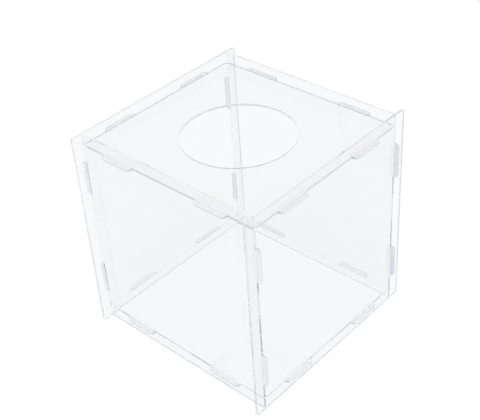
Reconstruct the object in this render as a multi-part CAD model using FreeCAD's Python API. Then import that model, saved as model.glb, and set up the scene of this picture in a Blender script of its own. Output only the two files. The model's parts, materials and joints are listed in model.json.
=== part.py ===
import FreeCAD, Part
import os

# Clear acrylic donation box, knocked together from six flat sheets. Every sheet is one cut profile. Tabs
# with rounded outer corners push through closed slots in the neighbouring walls and stand out beyond them.
# Millimetres, +Z up, the front faces -Y, origin on the floor under the middle of the box.

Vector = FreeCAD.Vector

# Sheet stock and fit
SHEET = 3.0  # thickness of every sheet
FIT_GAP = 0.15  # clearance on each side of a tab in its slot, and at the shoulder beside a tab

# Walls
WALL_HEIGHT = 300.0  # all four walls, floor to rim
SIDE_WALL_DEPTH = 300.0  # left and right walls, front edge to rear edge
INNER_WIDTH = 282.0  # between the inner faces of the left and right walls
WING = 15.0  # side walls' overhang past the outer faces of the front and rear walls
WALL_CORNER_RADIUS = 3.0

# Top and base panels
TOP_RECESS = 15.0  # rim of the walls down to the top panel's upper face
BASE_RECESS = 15.0  # floor up to the base panel's underside
PANEL_CORNER_RADIUS = 6.0
HOLE_DIAMETER = 150.0  # hand hole in the middle of the top panel

# Tabs, two on every jointed edge
TAB_LENGTH = 50.0
TAB_PROUD = 6.0  # how far a tab stands out past the outer face of the wall that it crosses
TAB_CORNER_RADIUS = 5.0
UPRIGHT_TAB_PITCH = 165.0  # centre to centre on the upright edges of the front and rear walls
WIDTH_TAB_PITCH = 155.0  # centre to centre on the front and rear edges of the top and base panels
DEPTH_TAB_PITCH = 138.0  # centre to centre on the left and right edges of the top and base panels

# Places that follow from the sizes above
outer_depth = SIDE_WALL_DEPTH - 2 * WING  # over the outer faces of the front and rear walls
inner_depth = outer_depth - 2 * SHEET
side_wall_x = (INNER_WIDTH + SHEET) / 2  # mid-planes of the sheets
cross_wall_y = (outer_depth - SHEET) / 2
mid_z = WALL_HEIGHT / 2
top_z = WALL_HEIGHT - TOP_RECESS - SHEET / 2
base_z = BASE_RECESS + SHEET / 2

tab_reach = FIT_GAP + SHEET + TAB_PROUD  # from the shoulder to the end of a tab
slot_length = TAB_LENGTH + 2 * FIT_GAP
slot_width = SHEET + 2 * FIT_GAP
body_width = INNER_WIDTH - 2 * FIT_GAP  # sheets that fit between the side walls
body_depth = inner_depth - 2 * FIT_GAP  # sheets that fit between the front and rear walls


def pair(pitch):
    """The two places of a pair that is centred on zero."""
    return (-pitch / 2, pitch / 2)


def rounded_wire(corners):
    """Closed wire through right-angled corners, each a point and a radius, with a tangent arc at each radius."""
    runs = []
    for index, (point, radius) in enumerate(corners):
        before = (corners[index - 1][0] - point).normalize()
        after = (corners[(index + 1) % len(corners)][0] - point).normalize()
        diagonal = before + after
        centre = point + diagonal * radius
        crown = centre - diagonal.normalize() * radius
        runs.append((point + before * radius, crown, point + after * radius, radius))
    edges = []
    for index, (start, crown, end, radius) in enumerate(runs):
        if radius > 0:
            edges.append(Part.Arc(start, crown, end).toShape())
        edges.append(Part.makeLine(end, runs[(index + 1) % len(runs)][0]))
    return Part.Wire(edges)


def outline(width, height, corner_radius, tabs):
    """Outer wire of a sheet, drawn round its middle. tabs gives the tab centres on each of the four edges."""
    half_width, half_height = width / 2, height / 2
    walk = (
        ("bottom", Vector(-half_width, -half_height, 0), Vector(1, 0, 0), width),
        ("right", Vector(half_width, -half_height, 0), Vector(0, 1, 0), height),
        ("top", Vector(half_width, half_height, 0), Vector(-1, 0, 0), width),
        ("left", Vector(-half_width, half_height, 0), Vector(0, -1, 0), height),
    )
    corners = []
    for name, start, along, length in walk:
        outward = Vector(along.y, -along.x, 0)
        corners.append((start, corner_radius))
        for centre in tabs.get(name, ()):
            root = start + along * (length / 2 + centre - TAB_LENGTH / 2)
            root_end = root + along * TAB_LENGTH
            corners.append((root, 0))
            corners.append((root + outward * tab_reach, TAB_CORNER_RADIUS))
            corners.append((root_end + outward * tab_reach, TAB_CORNER_RADIUS))
            corners.append((root_end, 0))
    return rounded_wire(corners)


def slot(u, v, width, height):
    """Square-cornered slot centred on (u, v)."""
    signs = ((-1, -1), (1, -1), (1, 1), (-1, 1))
    return rounded_wire([(Vector(u + s * width / 2, v + t * height / 2, 0), 0) for s, t in signs])


def hole(diameter):
    """Round hole in the middle of a sheet."""
    return Part.Wire(Part.makeCircle(diameter / 2))


def sheet(outer, cuts, position, across, up):
    """Cuts one sheet from its wires and stands it at its mid-plane, with its own axes along across and up."""
    face = Part.makeFace([outer, *cuts], "Part::FaceMakerBullseye")
    face.translate(Vector(0, 0, -SHEET / 2))
    solid = face.extrude(Vector(0, 0, SHEET))
    turn = FreeCAD.Rotation(across, up, across.cross(up), "XYZ")
    solid.Placement = FreeCAD.Placement(position, turn).multiply(solid.Placement)
    return solid


def side_wall(x):
    """Left or right wall: upright slots for the front and rear walls, level slots for the top and base panels."""
    cuts = [
        slot(y, z, slot_width, slot_length)
        for y in (-cross_wall_y, cross_wall_y)
        for z in pair(UPRIGHT_TAB_PITCH)
    ]
    cuts += [
        slot(y, z - mid_z, slot_length, slot_width)
        for y in pair(DEPTH_TAB_PITCH)
        for z in (base_z, top_z)
    ]
    outer = outline(SIDE_WALL_DEPTH, WALL_HEIGHT, WALL_CORNER_RADIUS, {})
    return sheet(outer, cuts, Vector(x, 0, mid_z), Vector(0, 1, 0), Vector(0, 0, 1))


def cross_wall(y):
    """Front or rear wall: tabs on both upright edges, level slots for the top and base panels."""
    cuts = [
        slot(x, z - mid_z, slot_length, slot_width)
        for x in pair(WIDTH_TAB_PITCH)
        for z in (base_z, top_z)
    ]
    tabs = {"left": pair(UPRIGHT_TAB_PITCH), "right": pair(UPRIGHT_TAB_PITCH)}
    outer = outline(body_width, WALL_HEIGHT, WALL_CORNER_RADIUS, tabs)
    return sheet(outer, cuts, Vector(0, y, mid_z), Vector(1, 0, 0), Vector(0, 0, 1))


def level_panel(z, cuts):
    """Top or base panel: tabs on all four edges."""
    tabs = {
        "bottom": pair(WIDTH_TAB_PITCH),
        "top": pair(WIDTH_TAB_PITCH),
        "left": pair(DEPTH_TAB_PITCH),
        "right": pair(DEPTH_TAB_PITCH),
    }
    outer = outline(body_width, body_depth, PANEL_CORNER_RADIUS, tabs)
    return sheet(outer, cuts, Vector(0, 0, z), Vector(1, 0, 0), Vector(0, 1, 0))


def build():
    """All six sheets by name."""
    return {
        "left_wall": side_wall(-side_wall_x),
        "right_wall": side_wall(side_wall_x),
        "front_wall": cross_wall(-cross_wall_y),
        "rear_wall": cross_wall(cross_wall_y),
        "top_panel": level_panel(top_z, [hole(HOLE_DIAMETER)]),
        "base_panel": level_panel(base_z, []),
    }


os.makedirs("parts", exist_ok=True)
for node, solid in build().items():
    solid.exportStep(os.path.join("parts", node + ".step"))
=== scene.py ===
import json
import math

import bpy
import numpy as np
from bpy.props import FloatProperty, FloatVectorProperty, IntProperty, PointerProperty
from bpy.types import Operator, Panel, PropertyGroup
from mathutils import Matrix, Vector
from mathutils.geometry import delaunay_2d_cdt


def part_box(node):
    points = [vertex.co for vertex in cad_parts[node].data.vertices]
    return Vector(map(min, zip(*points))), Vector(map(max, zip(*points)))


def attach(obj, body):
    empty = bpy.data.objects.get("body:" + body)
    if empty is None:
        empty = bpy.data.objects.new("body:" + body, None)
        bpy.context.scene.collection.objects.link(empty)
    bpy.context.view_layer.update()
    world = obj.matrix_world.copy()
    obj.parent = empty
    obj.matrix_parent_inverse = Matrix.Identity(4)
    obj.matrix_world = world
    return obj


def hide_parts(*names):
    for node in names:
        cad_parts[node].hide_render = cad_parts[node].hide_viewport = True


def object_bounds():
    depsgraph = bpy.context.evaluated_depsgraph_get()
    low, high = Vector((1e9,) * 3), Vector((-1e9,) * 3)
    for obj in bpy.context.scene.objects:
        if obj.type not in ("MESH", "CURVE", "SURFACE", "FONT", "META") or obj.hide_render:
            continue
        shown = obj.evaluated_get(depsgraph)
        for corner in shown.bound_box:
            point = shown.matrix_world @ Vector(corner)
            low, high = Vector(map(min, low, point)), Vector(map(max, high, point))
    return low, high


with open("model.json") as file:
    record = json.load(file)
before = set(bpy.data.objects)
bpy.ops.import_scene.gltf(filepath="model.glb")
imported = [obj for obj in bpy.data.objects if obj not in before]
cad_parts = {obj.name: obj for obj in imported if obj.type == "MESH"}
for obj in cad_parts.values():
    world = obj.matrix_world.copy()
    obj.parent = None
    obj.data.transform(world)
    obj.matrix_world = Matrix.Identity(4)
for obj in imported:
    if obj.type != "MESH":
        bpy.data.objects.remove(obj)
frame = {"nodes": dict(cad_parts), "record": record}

bl_info = {
    "name": "Clear Donation Box",
    "version": (1, 0, 0),
    "blender": (4, 5, 0),
    "location": "View3D > Sidebar > Donation Box",
    "description": "Six clear acrylic sheets that join by tabs and slots, on a white stage",
    "category": "Object",
}

CAD_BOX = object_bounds()
FACE, CUT_EDGE, OPENING = range(3)  # a sheet's material slots
INSIDE_RUNS = 1  # fill only what the contours' runs enclose
MERGE_DISTANCE = 1e-7
RAMP = 0.0001  # half the width of the step from one finish to the next
SHOULDER_INSET = 2  # how many arrises in from the edge a shoulder's finish begins

# Patterns in the acrylic: noise scales are in features per metre, heights in metres.
NOISE_RANGE = (0.3, 0.7)  # where most of a noise's values lie
PATCH_SCALE, PATCH_DETAIL = 14.0, 4.0
PATCH_RANGE = (0.45, 0.75)
PATCH_PALER = 0.008
WAVE_SCALE, WAVE_DETAIL = 5.0, 1.0
WAVE_HEIGHT, WAVE_STRENGTH = 0.0004, 0.3
SCUFF_SCALE, SCUFF_DETAIL = 260.0, 3.0
STREAK_SCALE, STREAK_DETAIL = 900.0, 2.0
STREAK_SQUEEZE = 0.04
STREAK_HEIGHT, STREAK_STRENGTH = 0.0001, 0.04
MOTTLE_SCALE, MOTTLE_DETAIL = 30.0, 3.0
ROUGHNESS_SPREAD = 0.3
CLOUD_SCALE, CLOUD_DETAIL = 3.0, 2.0
CLOUD_PALER = 0.01

FLOOR_ROUGHNESS = 0.9
LIGHT_BOUNCES = 300  # enough to leave a sheet after many inner reflections
TRANSPARENT_BOUNCES = 32

# Places and sides of the soft lamps, in metres.
KEY_PLACE, KEY_SIDE = (-1.1, -0.9, 1.6), 2.32
FILL_PLACE, FILL_SIDE = (1.4, -0.3, 1.3), 1.42

# Metres, +Z up, the front faces -Y. Every sheet has its own axes: u and v lie in its face, and w runs
# through its thickness.
X, Y, Z = range(3)
X_AXIS, Y_AXIS, Z_AXIS = np.eye(3)

NODE_BOX = {node: np.array(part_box(node)) for node in frame["nodes"]}
CROSSED = {"X": "right_wall", "Y": "rear_wall"}  # the wall that tabs along an axis pass through
INNER, OUTER = range(2)  # the faces of such a wall
LOW, HIGH = range(2)  # the corners of a box
RIDES_ON = {node: body for body, nodes in frame["record"]["behaviour"]["bodies"].items() for node in nodes}


def middle_of(node):
    """Middle of a CAD sheet's box."""
    return NODE_BOX[node].mean(axis=0)


def link(item):
    """Puts an object into the scene."""
    bpy.context.scene.collection.objects.link(item)
    return item


def inner_span(low_node, high_node, axis):
    """Gap between two facing sheets along an axis, from one inner face to the other."""
    return float(NODE_BOX[high_node][LOW][axis] - NODE_BOX[low_node][HIGH][axis])


def tab_limits(axes, face):
    """How far out the tabs' finish begins along each axis: at a face of the wall that they pass through."""
    return {axis: float(NODE_BOX[CROSSED[axis]][face]["XYZ".index(axis)]) for axis in axes}


class SheetSizes(PropertyGroup):
    """Sizes of the six sheets, and of the tabs and slots that join them."""

    thickness: FloatProperty(
        name="Sheet",
        description="Thickness of every sheet",
        default=float(np.ptp(NODE_BOX["top_panel"], axis=0)[Z]),
        unit="LENGTH",
    )
    fit_gap: FloatProperty(
        name="Fit gap",
        description="Clearance on each side of a tab in its slot, and at the shoulder beside a tab",
        default=0.00015,
        unit="LENGTH",
        precision=5,
    )
    arris: FloatProperty(
        name="Arris",
        description="Radius of the broken edge between a face and a cut edge",
        default=0.00015,
        unit="LENGTH",
        precision=5,
    )
    wall_corner_radius: FloatProperty(
        name="Wall corner",
        description="Radius of the four outer corners of a wall",
        default=0.003,
        unit="LENGTH",
    )
    panel_corner_radius: FloatProperty(
        name="Panel corner",
        description="Radius of the four outer corners of the top and base panels",
        default=0.006,
        unit="LENGTH",
    )
    tab_length: FloatProperty(
        name="Tab length",
        description="Length of a tab along the edge that it stands on",
        default=0.05,
        unit="LENGTH",
    )
    tab_corner_radius: FloatProperty(
        name="Tab corner",
        description="Radius of a tab's two outer corners",
        default=0.005,
        unit="LENGTH",
    )
    upright_tab_pitch: FloatProperty(
        name="Upright tab pitch",
        description="Centre to centre of the tabs on the upright edges of the front and rear walls",
        default=0.165,
        unit="LENGTH",
    )
    width_tab_pitch: FloatProperty(
        name="Width tab pitch",
        description="Centre to centre of the tabs on the front and rear edges of the top and base panels",
        default=0.155,
        unit="LENGTH",
    )
    depth_tab_pitch: FloatProperty(
        name="Depth tab pitch",
        description="Centre to centre of the tabs on the left and right edges of the top and base panels",
        default=0.138,
        unit="LENGTH",
    )
    hole_diameter: FloatProperty(
        name="Hand hole",
        description="Diameter of the round hole in the top panel",
        default=0.15,
        unit="LENGTH",
    )
    corner_steps: IntProperty(
        name="Corner steps",
        description="Straight runs in each rounded corner",
        default=8,
        min=2,
    )
    arris_steps: IntProperty(
        name="Arris steps",
        description="Straight runs across each broken edge",
        default=3,
        min=1,
    )
    hole_steps: IntProperty(
        name="Hole steps",
        description="Straight runs round the hand hole",
        default=144,
        min=24,
    )


def tint_property(name, description, default):
    """Colour of a surface."""
    return FloatVectorProperty(
        name=name, description=description, default=default, subtype="COLOR", min=0.0, max=1.0
    )


def share_property(name, description, default):
    """Share of a whole, from none to all."""
    return FloatProperty(
        name=name, description=description, default=default, subtype="FACTOR", min=0.0, max=1.0
    )


class AcrylicFinish(PropertyGroup):
    """Colours and gloss of the polished faces and the cut surfaces.

    Each kind of cut surface and of tab has a tint and a frost, which is the share that scatters light and
    doesn't pass it. The cross walls are the front and rear walls. The tints of the tabs and their ends are
    painted shade and painted reflection in place of what a clear tab shows, and the tints of the sheets and
    their edges differ by kind as painted light and shade.
    """

    refraction: FloatProperty(
        name="Refractive index",
        description="Refractive index of cast acrylic",
        default=1.49,
        min=1.0,
    )
    face_haze: share_property("Face haze", "Most roughness that handling leaves on a polished face", 0.03)
    wall_edge_roughness: share_property("Wall edge roughness", "Mean roughness of a wall's cut edge", 0.3)
    cut_roughness: share_property("Cut roughness", "Mean roughness of every other cut surface", 0.12)
    tab_roughness: share_property("Tab roughness", "Mean roughness of a tab's face", 0.25)
    mottle: share_property("Mottle", "How much darker the darker parts of a cut surface are", 0.05)
    scuff: share_property("Scuff", "How much darker the scuffs on a tab's face are", 0.02)

    # One acrylic for all six sheets: the walls' darker tint and the panels' paler ones are partly its real
    # tint and partly painted light and shade, set so that zones seen through one sheet or through two match
    # in tone.
    side_wall_tint: tint_property("Side wall", "Light that a side wall passes", (0.936, 0.943, 0.957))
    # Side wall edges are tinted darker than the cross wall edges: painted shade for the dark lines along
    # clear cut edges.
    side_wall_edge_tint: tint_property("Side wall edge", "Cut edge of a side wall", (0.92, 0.93, 0.94))
    side_wall_edge_frost: share_property("Side wall edge frost", "Share that scatters", 0.45)

    cross_wall_tint: tint_property("Cross wall", "Light that a cross wall passes", (0.936, 0.943, 0.957))
    cross_wall_edge_tint: tint_property("Cross wall edge", "Cut edge of a cross wall", (0.99, 0.992, 0.995))
    cross_wall_edge_frost: share_property("Cross wall edge frost", "Share that scatters", 0.45)
    cross_wall_shoulder_tint: tint_property("Cross wall shoulder", "Edge beside a tab", (0.99, 0.992, 0.995))
    cross_wall_shoulder_frost: share_property("Cross wall shoulder frost", "Share that scatters", 0.03)
    # Tab faces: a pale frosted tint, painted shade and painted reflection in place of what a clear tab
    # shows.
    cross_wall_tab_tint: tint_property("Cross wall tab", "Face of a tab", (0.95, 0.975, 0.995))
    cross_wall_tab_frost: share_property("Cross wall tab frost", "Share that scatters", 0.92)
    # Tab ends: a dark tint, painted shade for the dark outline round a clear tab.
    cross_wall_tab_end_tint: tint_property("Cross wall tab end", "Cut edge round a tab", (0.7, 0.74, 0.775))
    cross_wall_tab_end_frost: share_property("Cross wall tab end frost", "Share that scatters", 0.92)

    top_panel_tint: tint_property("Top panel", "Light that the top panel passes", (0.957, 0.96, 0.967))
    top_panel_edge_tint: tint_property("Top panel edge", "Cut edge of the panel", (0.98, 0.985, 0.99))
    top_panel_edge_frost: share_property("Top panel edge frost", "Share that scatters", 0.9)
    # Top panel tabs are tinted darker than the others: painted shade, as they face up and take more light.
    top_panel_tab_tint: tint_property("Top panel tab", "Face of a tab", (0.83, 0.853, 0.877))
    top_panel_tab_frost: share_property("Top panel tab frost", "Share that scatters", 0.92)
    # Dark tab end: painted shade for the outline round a clear tab.
    top_panel_tab_end_tint: tint_property("Top panel tab end", "Cut edge round a tab", (0.68, 0.72, 0.75))
    top_panel_tab_end_frost: share_property("Top panel tab end frost", "Share that scatters", 0.9)

    # The base panel is nearly clear: painted light that offsets the box's shadow on the floor seen through
    # it.
    base_panel_tint: tint_property("Base panel", "Light that the base panel passes", (0.997, 0.998, 0.999))
    base_panel_edge_tint: tint_property("Base panel edge", "Cut edge of the panel", (0.99, 0.992, 0.995))
    base_panel_edge_frost: share_property("Base panel edge frost", "Share that scatters", 0.03)
    # Base panel tabs are tinted paler: painted light that offsets the shade at the foot of the box.
    base_panel_tab_tint: tint_property("Base panel tab", "Face of a tab", (0.96, 0.98, 0.999))
    base_panel_tab_frost: share_property("Base panel tab frost", "Share that scatters", 0.92)
    # Dark tab end: painted shade for the outline round a clear tab.
    base_panel_tab_end_tint: tint_property("Base panel tab end", "Cut edge round a tab", (0.72, 0.76, 0.79))
    base_panel_tab_end_frost: share_property("Base panel tab end frost", "Share that scatters", 0.92)

    slot_tint: tint_property("Slot", "Cut wall of a slot", (0.99, 0.993, 0.997))
    slot_frost: share_property("Slot frost", "Share that scatters", 0.0)
    hole_tint: tint_property("Hand hole", "Cut wall of the hand hole", (0.94, 0.95, 0.96))
    hole_frost: share_property("Hand hole frost", "Share that scatters", 0.75)


class StudioStage(PropertyGroup):
    """Camera, floor and light."""

    camera_place: FloatVectorProperty(
        name="Camera",
        description="Where the camera stands",
        default=(0.74737, -0.77530, 0.95795),
        subtype="TRANSLATION",
        unit="LENGTH",
        precision=5,
    )
    camera_aim: FloatVectorProperty(
        name="Aim",
        description="The point that the camera looks at",
        default=(-0.00958, 0.00259, 0.16164),
        subtype="TRANSLATION",
        unit="LENGTH",
        precision=5,
    )
    camera_roll: FloatProperty(
        name="Roll",
        description="How far the top of the camera leans to its right",
        default=math.radians(4.098),
        subtype="ANGLE",
    )
    lens: FloatProperty(
        name="Lens",
        description="Focal length on a sensor 36 mm wide",
        default=76.075,
        subtype="DISTANCE_CAMERA",
    )
    floor_size: FloatProperty(
        name="Floor",
        description="Side of the square floor",
        default=12.0,
        unit="LENGTH",
    )
    floor_colour: tint_property("Floor colour", "Pale floor", (0.98, 0.98, 0.98))
    floor_white: share_property("Floor white", "Share seen as plain white, the rest keeps the shadow", 0.92)
    floor_drop: FloatProperty(
        name="Floor drop",
        description="How far the floor lies under the walls' feet",
        default=0.0002,
        unit="LENGTH",
        precision=5,
    )
    sky: FloatProperty(
        name="Surround",
        description="Strength of the even white light from all round",
        default=0.82,
        min=0.0,
    )
    key_power: FloatProperty(
        name="Key lamp",
        description="Power of the soft lamp on the left",
        default=17.0,
        unit="POWER",
    )
    fill_power: FloatProperty(
        name="Fill lamp",
        description="Power of the soft lamp on the right",
        default=10.0,
        unit="POWER",
    )


def rounded_contour(corners, radii, steps):
    """Closed contour through right-angled corners, in order.

    A corner P of radius r has unit arms a, to the corner before, and b, to the corner after. Its arc has
    the centre C = P + r (a + b) and the points C - r (b cos t + a sin t), with t from 0 to a quarter turn.
    A corner of radius 0 stays one sharp point. Gives the points, and which of them are sharp.
    """
    to_before = np.roll(corners, 1, axis=0) - corners
    to_after = np.roll(corners, -1, axis=0) - corners
    to_before /= np.linalg.norm(to_before, axis=1, keepdims=True)
    to_after /= np.linalg.norm(to_after, axis=1, keepdims=True)
    reach = radii[:, None]
    centres = corners + reach * (to_before + to_after)
    turn = np.linspace(0.0, math.pi / 2, steps + 1)[None, :, None]
    swing = np.cos(turn) * to_after[:, None] + np.sin(turn) * to_before[:, None]
    arcs = centres[:, None] - reach[:, None] * swing
    is_sharp = np.broadcast_to(radii[:, None] == 0.0, arcs.shape[:2])
    first = np.arange(steps + 1)[None, :] == 0
    keep = ~is_sharp | first
    return arcs[keep], is_sharp[keep]


def tab_corners(start, along, length, centres, sizes, reach):
    """Corners of the tabs on one straight edge, and their radii: root, two outer ends and root of each."""
    outward = np.array((along[1], -along[0]))
    sides = np.array((-0.5, -0.5, 0.5, 0.5)) * sizes.tab_length
    out = np.array((0.0, reach, reach, 0.0))
    run = length / 2 + np.asarray(centres)[:, None] + sides[None]
    points = start + run[..., None] * along + out[None, :, None] * outward
    radii = np.tile((out > 0) * sizes.tab_corner_radius, len(centres))
    return points.reshape(-1, 2), radii


def sheet_outline(width, height, corner_radius, tabs, reach, sizes):
    """Outer contour of a sheet about its middle, anticlockwise, with tabs at centres on named edges."""
    half = np.array((width, height)) / 2
    walk = (
        ("bottom", (-1, -1), (1, 0), width),
        ("right", (1, -1), (0, 1), height),
        ("top", (1, 1), (-1, 0), width),
        ("left", (-1, 1), (0, -1), height),
    )
    corners, radii = [], []
    for edge, sign, along, length in walk:
        start = half * sign
        corners.append(start[None])
        radii.append(np.array((corner_radius,)))
        if edge in tabs:
            points, rounds = tab_corners(start, np.array(along, float), length, tabs[edge], sizes, reach)
            corners.append(points)
            radii.append(rounds)
    points, sharp = rounded_contour(np.concatenate(corners), np.concatenate(radii), sizes.corner_steps)
    return points, sharp, CUT_EDGE


def slot_contour(centre, width, height):
    """Square-cornered slot, clockwise, so that its cut wall faces into the gap."""
    signs = np.array(((-1, -1), (-1, 1), (1, 1), (1, -1)))
    points = np.array(centre) + signs * np.array((width, height)) / 2
    return points, np.ones(len(points), bool), OPENING


def hole_contour(diameter, steps):
    """Round hole in the middle of a sheet, clockwise: radius times (cos t, -sin t) over one turn."""
    turn = np.linspace(0.0, 2 * math.pi, steps, endpoint=False)
    points = diameter / 2 * np.stack((np.cos(turn), -np.sin(turn)), axis=1)
    return points, np.zeros(steps, bool), OPENING


def edge_profile(sizes):
    """Section of a cut edge, from the face at +w round to the face at -w, as insets and heights.

    A quarter round of the arris radius leaves the upper face, a straight cut drops through the sheet, and
    the same quarter round, turned over, meets the lower face.
    """
    turn = np.linspace(0.0, math.pi / 2, sizes.arris_steps + 1)
    inset = sizes.arris * (1 - np.sin(turn))
    height = sizes.thickness / 2 - sizes.arris * (1 - np.cos(turn))
    return np.concatenate((inset, inset[::-1])), np.concatenate((height, -height[::-1]))


def carry_profile(contour, inset, height):
    """Profile carried along a closed contour: a point moves in by inset times the mitre, and to height on w.

    The mitre at a point is the sum of the outward normals of the two runs that meet there, over one plus
    their dot product, so that every run moves in by the same amount. Gives a grid of one row for each
    profile point.
    """
    ahead = np.roll(contour, -1, axis=0) - contour
    ahead /= np.linalg.norm(ahead, axis=1, keepdims=True)
    leaving = np.stack((ahead[:, 1], -ahead[:, 0]), axis=1)
    arriving = np.roll(leaving, 1, axis=0)
    mitre = (leaving + arriving) / (1 + np.sum(leaving * arriving, axis=1, keepdims=True))
    flat = contour[None] - inset[:, None, None] * mitre[None]
    level = np.broadcast_to(height[:, None, None], (*flat.shape[:2], 1))
    return np.concatenate((flat, level), axis=2)


def rim_quads(rows, count, base):
    """Faces between neighbouring rows of a grid that closes on itself along each row, facing outwards."""
    row, column = np.meshgrid(np.arange(rows - 1), np.arange(count), indexing="ij")
    beside = (column + 1) % count
    corners = (
        row * count + column,
        (row + 1) * count + column,
        (row + 1) * count + beside,
        row * count + beside,
    )
    return base + np.stack(corners, axis=-1).reshape(-1, 4)


def face_triangles(contours):
    """Flat fill inside the first contour and outside the others, anticlockwise, as indices of their points.

    Delaunay triangles that keep every contour's runs as edges. The first contour bounds them, and a
    triangle with all three corners on one of the others lies in that opening, because every opening is
    convex, and is dropped.
    """
    counts = [len(contour) for contour in contours]
    owner = np.repeat(np.arange(len(contours)), counts)
    starts = np.concatenate(((0,), np.cumsum(counts)[:-1]))
    place = np.arange(len(owner))
    step = place - starts[owner] + 1
    after = starts[owner] + step % np.array(counts)[owner]
    points = [Vector(point) for point in np.concatenate(contours).tolist()]
    runs = np.stack((place, after), axis=1).tolist()
    kept, _, faces, sources, _, _ = delaunay_2d_cdt(points, runs, [], INSIDE_RUNS, MERGE_DISTANCE)
    if len(kept) != len(points):
        raise ValueError("two points of a sheet's contours fall together")
    triangles = np.array([source[0] for source in sources])[np.array(faces)]
    corners = owner[triangles]
    in_opening = np.all(corners == corners[:, :1], axis=1) & (corners[:, 0] > 0)
    return triangles[~in_opening]


def sharp_edges(mesh, spans, rows):
    """Marks the creases of a sheet: where the arris meets a face or the cut, and down every sharp corner.

    A vertex is numbered by row and by column within its contour, so an edge along a contour keeps its row
    and an edge across the rim keeps its column.
    """
    pairs = np.empty(len(mesh.edges) * 2, np.int32)
    mesh.edges.foreach_get("vertices", pairs)
    pairs = pairs.reshape(-1, 2)
    crease_rows = np.array((0, rows // 2 - 1, rows // 2, rows - 1))
    marked = np.zeros(len(pairs), bool)
    for base, sharp in spans:
        count = len(sharp)
        local = pairs - base
        inside = np.all((local >= 0) & (local < rows * count), axis=1)
        row, column = np.divmod(np.where(inside[:, None], local, 0), count)
        along = (row[:, 0] == row[:, 1]) & np.isin(row[:, 0], crease_rows)
        across = (column[:, 0] == column[:, 1]) & sharp[column[:, 0]]
        marked |= inside & (along | across)
    crease = mesh.attributes.new("sharp_edge", "BOOLEAN", "EDGE")
    crease.data.foreach_set("value", marked)


def cut_sheet(node, contours, across, up, sizes, materials):
    """Makes one sheet from its contours: a rim along each contour and a flat face on both sides.

    A point (u, v, w) of the sheet goes to middle + u across + v up + w (across x up), with the middle of
    the CAD sheet of the same name.
    """
    inset, height = edge_profile(sizes)
    rows = len(inset)
    grids = [carry_profile(points, inset, height) for points, _, _ in contours]
    counts = np.array([len(points) for points, _, _ in contours])
    bases = np.concatenate(((0,), np.cumsum(counts * rows)[:-1]))
    local = np.concatenate([grid.reshape(-1, 3) for grid in grids])
    axes = np.stack((across, up, np.cross(across, up)))
    vertices = middle_of(node) + local @ axes

    quads = np.concatenate([rim_quads(rows, count, base) for count, base in zip(counts, bases)])
    upper_ring = np.concatenate([base + np.arange(count) for count, base in zip(counts, bases)])
    to_lower = np.repeat(counts * (rows - 1), counts)
    fill = face_triangles([grid[0, :, :2] for grid in grids])
    upper = upper_ring[fill]
    lower = (upper_ring + to_lower)[fill][:, ::-1]
    triangles = np.concatenate((upper, lower))

    mesh = bpy.data.meshes.new(node + "_sheet")
    mesh.from_pydata(vertices.tolist(), [], quads.tolist() + triangles.tolist())
    rim_finish = np.repeat([finish for _, _, finish in contours], counts * (rows - 1))
    finishes = np.concatenate((rim_finish, np.full(len(triangles), FACE)))
    mesh.polygons.foreach_set("material_index", finishes.astype(np.int32))
    mesh.polygons.foreach_set("use_smooth", np.ones(len(mesh.polygons), bool))
    sharp_edges(mesh, [(base, sharp) for base, (_, sharp, _) in zip(bases, contours)], rows)
    for material in materials:
        mesh.materials.append(material)
    mesh.update()
    mesh.validate()

    sheet = link(bpy.data.objects.new(node + "_sheet", mesh))
    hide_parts(node)
    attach(sheet, RIDES_ON[node])


def show_either(tree, factor, first, second, output):
    """Shows the first shader where the factor is 0 and the second where it is 1."""
    mix = tree.nodes.new("ShaderNodeMixShader")
    tree.links.new(factor, mix.inputs["Fac"])
    tree.links.new(first, mix.inputs[1])
    tree.links.new(second, mix.inputs[2])
    tree.links.new(mix.outputs["Shader"], tree.nodes[output].inputs["Surface"])


def lamps_pass(tree, shader, colour):
    """Lets lamps through a clear sheet: a ray from a lamp crosses it as if it were only tinted."""
    shadow = tree.nodes.new("ShaderNodeLightPath").outputs["Is Shadow Ray"]
    clear = tree.nodes.new("ShaderNodeBsdfTransparent")
    clear.inputs["Color"].default_value = (*colour, 1.0)
    show_either(tree, shadow, shader.outputs["BSDF"], clear.outputs["BSDF"], "Material Output")


def new_acrylic(name, finish):
    """Clear acrylic with nothing on it yet: gives the material, its node tree and its main shader."""
    material = bpy.data.materials.new(name)
    material.use_nodes = True
    tree = material.node_tree
    shader = tree.nodes["Principled BSDF"]
    shader.inputs["Transmission Weight"].default_value = 1.0
    shader.inputs["IOR"].default_value = finish.refraction
    return material, tree, shader


def noise(tree, vector, scale, detail):
    """Noise texture on a vector, as its factor output."""
    node = tree.nodes.new("ShaderNodeTexNoise")
    node.inputs["Scale"].default_value = scale
    node.inputs["Detail"].default_value = detail
    tree.links.new(vector, node.inputs["Vector"])
    return node.outputs["Fac"]


def remap(tree, value, source, target):
    """Stretches a value from one range to another, held within the second."""
    node = tree.nodes.new("ShaderNodeMapRange")
    node.inputs["From Min"].default_value = source[0]
    node.inputs["From Max"].default_value = source[1]
    node.inputs["To Min"].default_value = target[0]
    node.inputs["To Max"].default_value = target[1]
    tree.links.new(value, node.inputs["Value"])
    return node.outputs["Result"]


def colour_between(tree, factor, first, second):
    """Colour that runs from the first to the second as the factor goes from 0 to 1."""
    node = tree.nodes.new("ShaderNodeMix")
    node.data_type = "RGBA"
    node.inputs["A"].default_value = (*first, 1.0)
    node.inputs["B"].default_value = (*second, 1.0)
    tree.links.new(factor, node.inputs["Factor"])
    return node.outputs["Result"]


def bump(tree, height, distance, strength):
    """Surface relief from a height."""
    node = tree.nodes.new("ShaderNodeBump")
    node.inputs["Distance"].default_value = distance
    node.inputs["Strength"].default_value = strength
    tree.links.new(height, node.inputs["Height"])
    return node.outputs["Normal"]


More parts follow.
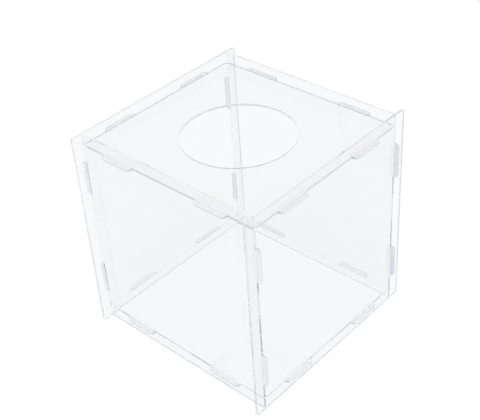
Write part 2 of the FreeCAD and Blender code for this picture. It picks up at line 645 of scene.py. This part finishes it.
def object_vector(tree, scale=(1.0, 1.0, 1.0)):
    """The piece's own coordinates, stretched along each axis."""
    place = tree.nodes.new("ShaderNodeTexCoord")
    mapping = tree.nodes.new("ShaderNodeMapping")
    mapping.inputs["Scale"].default_value = scale
    tree.links.new(place.outputs["Object"], mapping.inputs["Vector"])
    return mapping.outputs["Vector"]


def larger(tree, first, second):
    """The larger of two values."""
    node = tree.nodes.new("ShaderNodeMath")
    node.operation = "MAXIMUM"
    tree.links.new(first, node.inputs[0])
    tree.links.new(second, node.inputs[1])
    return node.outputs["Value"]


def beyond(tree, vector, limits):
    """1 where a point lies further out than a limit along any of the axes, 0 within, with a short ramp."""
    parts = tree.nodes.new("ShaderNodeSeparateXYZ")
    tree.links.new(vector, parts.inputs["Vector"])
    widest = None
    for axis, limit in limits.items():
        size = tree.nodes.new("ShaderNodeMath")
        size.operation = "ABSOLUTE"
        tree.links.new(parts.outputs[axis], size.inputs[0])
        outside = remap(tree, size.outputs["Value"], (limit - RAMP, limit + RAMP), (0.0, 1.0))
        widest = outside if widest is None else larger(tree, widest, outside)
    return widest


def mixed(tree, factor, first, second):
    """Value or colour from two sockets: the first where the factor is 0, the second where it is 1."""
    node = tree.nodes.new("ShaderNodeMix")
    node.data_type = "FLOAT" if first.type == "VALUE" else "RGBA"
    tree.links.new(factor, node.inputs["Factor"])
    tree.links.new(first, node.inputs["A"])
    tree.links.new(second, node.inputs["B"])
    return node.outputs["Result"]


def stepped(tree, start, steps):
    """Value that is the start, and changes to each next target where that target's factor is 1.

    Each step adds its factor times the rise from the target before.
    """
    value, level = None, start
    for factor, target in steps:
        step = tree.nodes.new("ShaderNodeMath")
        step.operation = "MULTIPLY_ADD"
        tree.links.new(factor, step.inputs[0])
        step.inputs[1].default_value = target - level
        if value is None:
            step.inputs[2].default_value = level
        else:
            tree.links.new(value, step.inputs[2])
        value, level = step.outputs["Value"], target
    return value


def crossing(tint):
    """A sheet's tint shared between the two surfaces that a ray crosses."""
    return tuple(math.sqrt(value) for value in tint)


def look(finish, surface):
    """Tint and frost of one kind of surface."""
    return tuple(getattr(finish, surface + "_tint")), getattr(finish, surface + "_frost")


def darker(tint, share):
    """A tint with a share of it taken away."""
    return tuple(value * (1 - share) for value in tint)


def around(value):
    """Range of a roughness that varies about its mean."""
    return (value * (1 - ROUGHNESS_SPREAD), value * (1 + ROUGHNESS_SPREAD))


def cut_range(finish, surface):
    """Range of roughness of one kind of cut surface."""
    return around(finish.wall_edge_roughness if surface.endswith("wall_edge") else finish.cut_roughness)


def polished_face(kind, limits, finish):
    """Polished face of cast sheet: clear, with a faint wave in the surface and hazy patches from handling.

    Past the limits the face is that of a tab: scuffed at random, and frosted and tinted to paint the grey
    shade and reflection that a clear tab shows.
    """
    material, tree, shader = new_acrylic(kind + "_face", finish)
    tint = tuple(getattr(finish, kind + "_tint"))
    place = object_vector(tree)
    patches = noise(tree, place, PATCH_SCALE, PATCH_DETAIL)
    roughness = remap(tree, patches, PATCH_RANGE, (0.0, finish.face_haze))
    paler = tuple(min(1.0, value + PATCH_PALER) for value in tint)
    colour = colour_between(tree, patches, tint, paler)
    if limits:
        tab_tint, tab_frost = look(finish, kind + "_tab")
        tab = beyond(tree, place, limits)
        scuffs = remap(tree, noise(tree, place, SCUFF_SCALE, SCUFF_DETAIL), NOISE_RANGE, (0.0, 1.0))
        # The tab's colour is painted shade and reflection, with random scuffs on it.
        painted_tab_shade_and_scuffs = colour_between(tree, scuffs, tab_tint, darker(tab_tint, finish.scuff))
        colour = mixed(tree, tab, colour, painted_tab_shade_and_scuffs)
        dulled = remap(tree, scuffs, (0.0, 1.0), around(finish.tab_roughness))
        roughness = mixed(tree, tab, roughness, dulled)
        clear = remap(tree, tab, (0.0, 1.0), (1.0, 1.0 - tab_frost))
        tree.links.new(clear, shader.inputs["Transmission Weight"])
    tree.links.new(roughness, shader.inputs["Roughness"])
    tree.links.new(colour, shader.inputs["Base Color"])
    wave = noise(tree, place, WAVE_SCALE, WAVE_DETAIL)
    tree.links.new(bump(tree, wave, WAVE_HEIGHT, WAVE_STRENGTH), shader.inputs["Normal"])
    lamps_pass(tree, shader, crossing(tint))
    return material


def cut_surface(name, axis, surface, zones, finish):
    """Cut surface of a sheet, with fine streaks that run through the thickness, along the given axis.

    The zones give, from the middle of the sheet outwards, each further surface and how far out it begins.
    """
    material, tree, shader = new_acrylic(name, finish)
    tint, frost = look(finish, surface)
    place = object_vector(tree)
    squeeze = np.ones(3)
    squeeze[axis] = STREAK_SQUEEZE
    fine = noise(tree, object_vector(tree, squeeze), STREAK_SCALE, STREAK_DETAIL)
    streaks = remap(tree, fine, NOISE_RANGE, (0.0, 1.0))
    patches = remap(tree, noise(tree, place, MOTTLE_SCALE, MOTTLE_DETAIL), NOISE_RANGE, (0.0, 1.0))
    colour = colour_between(tree, patches, tint, darker(tint, finish.mottle))
    rough = remap(tree, streaks, (0.0, 1.0), cut_range(finish, surface))
    shader.inputs["Transmission Weight"].default_value = 1.0 - frost
    clear = []
    for zone, limits in zones:
        zone_tint, zone_frost = look(finish, zone)
        past = beyond(tree, place, limits)
        zone_colour = colour_between(tree, patches, zone_tint, darker(zone_tint, finish.mottle))
        colour = mixed(tree, past, colour, zone_colour)
        rough = mixed(tree, past, rough, remap(tree, streaks, (0.0, 1.0), cut_range(finish, zone)))
        clear.append((past, 1.0 - zone_frost))
    if clear:
        tree.links.new(stepped(tree, 1.0 - frost, clear), shader.inputs["Transmission Weight"])
    tree.links.new(rough, shader.inputs["Roughness"])
    tree.links.new(colour, shader.inputs["Base Color"])
    tree.links.new(bump(tree, streaks, STREAK_HEIGHT, STREAK_STRENGTH), shader.inputs["Normal"])
    lamps_pass(tree, shader, crossing(tint))
    return material


def sheet_materials(kind, axis, openings, limits, finish, shoulder=None):
    """Finishes of one kind of sheet, thin along the given axis: its face, cut edge and openings' walls.

    The limits tell where its tabs begin, and shoulder where the edges beside them do, if those differ.
    """
    zones = [(kind + "_shoulder", shoulder)] if shoulder else []
    # A tab's cut end gets its own dark tint: painted shade for the dark outline round a clear tab.
    if limits:
        zones.append((kind + "_tab_end", limits))
    face = polished_face(kind, limits, finish)
    edge = cut_surface(kind + "_edge", axis, kind + "_edge", zones, finish)
    walls = [cut_surface(f"{kind}_{opening}", axis, opening, (), finish) for opening in openings]
    return [face, edge, *walls]


def pair(pitch):
    """The two places of a pair that is centred on zero."""
    return (-pitch / 2, pitch / 2)


def slot_sizes(sizes):
    """Length and width of a slot, from the tab that it takes."""
    return sizes.tab_length + 2 * sizes.fit_gap, sizes.thickness + 2 * sizes.fit_gap


def level_slots(pitch, height, sizes):
    """Slots in a wall of the given height for the tabs of the base and top panels."""
    length, width = slot_sizes(sizes)
    return [
        slot_contour((u, middle_of(panel)[Z] - height / 2), length, width)
        for panel in ("base_panel", "top_panel")
        for u in pair(pitch)
    ]


class DONATION_OT_side_walls(Operator):
    """Left and right walls: upright slots for the front and rear walls, level slots for the panels"""

    bl_idname = "donation.side_walls"
    bl_label = "Side walls"

    def execute(self, context):
        sizes, finish = context.scene.donation_sizes, context.scene.donation_finish
        materials = sheet_materials("side_wall", X, ("slot",), {}, finish)
        length, width = slot_sizes(sizes)
        depth, height = np.ptp(NODE_BOX["left_wall"], axis=0)[[Y, Z]]
        outer = sheet_outline(depth, height, sizes.wall_corner_radius, {}, 0.0, sizes)
        upright = [
            slot_contour((middle_of(wall)[Y], v), width, length)
            for wall in ("front_wall", "rear_wall")
            for v in pair(sizes.upright_tab_pitch)
        ]
        level = level_slots(sizes.depth_tab_pitch, height, sizes)
        for node in ("left_wall", "right_wall"):
            cut_sheet(node, [outer, *upright, *level], Y_AXIS, Z_AXIS, sizes, materials)
        return {"FINISHED"}


class DONATION_OT_cross_walls(Operator):
    """Front and rear walls: tabs on both upright edges, level slots for the top and base panels"""

    bl_idname = "donation.cross_walls"
    bl_label = "Front and rear walls"

    def execute(self, context):
        sizes, finish = context.scene.donation_sizes, context.scene.donation_finish
        span, height = np.ptp(NODE_BOX["front_wall"], axis=0)[[X, Z]]
        body = inner_span("left_wall", "right_wall", X) - 2 * sizes.fit_gap
        shoulder = {"X": body / 2 - SHOULDER_INSET * sizes.arris}
        materials = sheet_materials("cross_wall", Y, ("slot",), tab_limits("X", OUTER), finish, shoulder)
        tabs = {edge: pair(sizes.upright_tab_pitch) for edge in ("left", "right")}
        outer = sheet_outline(body, height, sizes.wall_corner_radius, tabs, (span - body) / 2, sizes)
        level = level_slots(sizes.width_tab_pitch, height, sizes)
        for node in ("front_wall", "rear_wall"):
            cut_sheet(node, [outer, *level], X_AXIS, Z_AXIS, sizes, materials)
        return {"FINISHED"}


class DONATION_OT_level_panels(Operator):
    """Top and base panels: tabs on all four edges, and the hand hole in the top"""

    bl_idname = "donation.level_panels"
    bl_label = "Top and base panels"

    def execute(self, context):
        sizes, finish = context.scene.donation_sizes, context.scene.donation_finish
        top = sheet_materials("top_panel", Z, ("hole",), tab_limits("XY", INNER), finish)
        base = sheet_materials("base_panel", Z, (), tab_limits("XY", OUTER), finish)
        span = np.ptp(NODE_BOX["top_panel"], axis=0)[X]
        width = inner_span("left_wall", "right_wall", X) - 2 * sizes.fit_gap
        depth = inner_span("front_wall", "rear_wall", Y) - 2 * sizes.fit_gap
        tabs = {edge: pair(sizes.width_tab_pitch) for edge in ("bottom", "top")}
        tabs |= {edge: pair(sizes.depth_tab_pitch) for edge in ("left", "right")}
        outer = sheet_outline(width, depth, sizes.panel_corner_radius, tabs, (span - width) / 2, sizes)
        hole = hole_contour(sizes.hole_diameter, sizes.hole_steps)
        cut_sheet("top_panel", [outer, hole], X_AXIS, Y_AXIS, sizes, top)
        cut_sheet("base_panel", [outer], X_AXIS, Y_AXIS, sizes, base)
        return {"FINISHED"}


def seen_rays(tree):
    """1 for rays that see the stage directly, in a reflection or through a clear sheet, 0 for others."""
    path = tree.nodes.new("ShaderNodeLightPath")
    seen = path.outputs["Is Camera Ray"]
    for ray in ("Is Glossy Ray", "Is Transmission Ray"):
        seen = larger(tree, seen, path.outputs[ray])
    return seen


def floor_material(stage):
    """Pale, faintly uneven floor. A share of what is seen is plain white, and the rest keeps its shadow."""
    material = bpy.data.materials.new("white_floor")
    material.use_nodes = True
    tree = material.node_tree
    shader = tree.nodes["Principled BSDF"]
    shader.inputs["Roughness"].default_value = FLOOR_ROUGHNESS
    shader.inputs["Specular IOR Level"].default_value = 0.0
    tint = tuple(stage.floor_colour)
    paler = tuple(value + CLOUD_PALER for value in tint)
    cloud = noise(tree, object_vector(tree), CLOUD_SCALE, CLOUD_DETAIL)
    tree.links.new(colour_between(tree, cloud, tint, paler), shader.inputs["Base Color"])
    white = tree.nodes.new("ShaderNodeEmission")
    share = remap(tree, seen_rays(tree), (0.0, 1.0), (0.0, stage.floor_white))
    show_either(tree, share, shader.outputs["BSDF"], white.outputs["Emission"], "Material Output")
    return material


def white_surround(stage):
    """Even white light from all round, plain white wherever it is seen directly or in the sheets."""
    world = bpy.data.worlds.new("white_surround")
    bpy.context.scene.world = world
    world.use_nodes = True
    tree = world.node_tree
    lighting = tree.nodes["Background"]
    lighting.inputs["Strength"].default_value = stage.sky
    lighting.inputs["Color"].default_value = (1.0, 1.0, 1.0, 1.0)
    seen = tree.nodes.new("ShaderNodeBackground")
    seen.inputs["Color"].default_value = (1.0, 1.0, 1.0, 1.0)
    surround, plain = lighting.outputs["Background"], seen.outputs["Background"]
    show_either(tree, seen_rays(tree), surround, plain, "World Output")


def soft_lamp(name, place, aim, side, power):
    """Square soft lamp that faces its aim and isn't itself mirrored in the sheets."""
    data = bpy.data.lights.new(name, "AREA")
    data.size = side
    data.energy = power
    lamp = link(bpy.data.objects.new(name, data))
    lamp.location = place
    lamp.rotation_euler = (Vector(aim) - Vector(place)).to_track_quat("-Z", "Y").to_euler()
    lamp.visible_glossy = False
    lamp.visible_transmission = False


def add_camera(stage):
    """Camera at its place, turned to its aim and leaned by its roll."""
    data = bpy.data.cameras.new("camera")
    data.lens = stage.lens
    data.sensor_fit = "HORIZONTAL"
    camera = link(bpy.data.objects.new("camera", data))
    place, aim = Vector(stage.camera_place), Vector(stage.camera_aim)
    straight = (aim - place).to_track_quat("-Z", "Y").to_matrix()
    lean = Matrix.Rotation(-stage.camera_roll, 3, "Z")
    camera.matrix_world = Matrix.Translation(place) @ (straight @ lean).to_4x4()
    bpy.context.scene.camera = camera


def add_floor(stage):
    """Square floor, a little under the walls' feet."""
    half, level = stage.floor_size / 2, -stage.floor_drop
    mesh = bpy.data.meshes.new("floor")
    corners = [(-half, -half, level), (half, -half, level), (half, half, level), (-half, half, level)]
    mesh.from_pydata(corners, [], [(0, 1, 2, 3)])
    mesh.materials.append(floor_material(stage))
    link(bpy.data.objects.new("floor", mesh))


class DONATION_OT_stage(Operator):
    """Camera, white floor, even surround and two soft lamps"""

    bl_idname = "donation.stage"
    bl_label = "Stage"

    def execute(self, context):
        scene, stage = context.scene, context.scene.donation_stage
        scene.view_settings.view_transform = "Standard"
        for path in ("max", "transmission", "glossy", "diffuse"):
            setattr(scene.cycles, path + "_bounces", LIGHT_BOUNCES)
        scene.cycles.transparent_max_bounces = TRANSPARENT_BOUNCES
        add_camera(stage)
        add_floor(stage)
        white_surround(stage)
        middle = sum((Vector(corner) for corner in CAD_BOX), Vector()) / 2
        soft_lamp("key_lamp", KEY_PLACE, middle, KEY_SIDE, stage.key_power)
        soft_lamp("fill_lamp", FILL_PLACE, middle, FILL_SIDE, stage.fill_power)
        return {"FINISHED"}


class DONATION_PT_panel(Panel):
    """Everything that makes the donation box, in the order of making"""

    bl_label = "Donation Box"
    bl_idname = "DONATION_PT_panel"
    bl_space_type = "VIEW_3D"
    bl_region_type = "UI"
    bl_category = "Donation Box"

    def draw(self, context):
        for step in STEPS:
            self.layout.operator(step.bl_idname)
        for key in GROUPS:
            group = getattr(context.scene, key)
            column = self.layout.column()
            for name in group.bl_rna.properties.keys():
                if name not in ("rna_type", "name"):
                    column.prop(group, name)


GROUPS = {
    "donation_sizes": SheetSizes,
    "donation_finish": AcrylicFinish,
    "donation_stage": StudioStage,
}
STEPS = (
    DONATION_OT_side_walls,
    DONATION_OT_cross_walls,
    DONATION_OT_level_panels,
    DONATION_OT_stage,
)


def register():
    for item in (*GROUPS.values(), *STEPS, DONATION_PT_panel):
        bpy.utils.register_class(item)
    for name, group in GROUPS.items():
        setattr(bpy.types.Scene, name, PointerProperty(type=group))


def unregister():
    for name in GROUPS:
        delattr(bpy.types.Scene, name)
    for item in reversed((*GROUPS.values(), *STEPS, DONATION_PT_panel)):
        bpy.utils.unregister_class(item)


def main():
    """Makes the sheets and the stage."""
    register()
    bpy.ops.donation.side_walls()
    bpy.ops.donation.cross_walls()
    bpy.ops.donation.level_panels()
    bpy.ops.donation.stage()


if __name__ == "__main__":
    main()
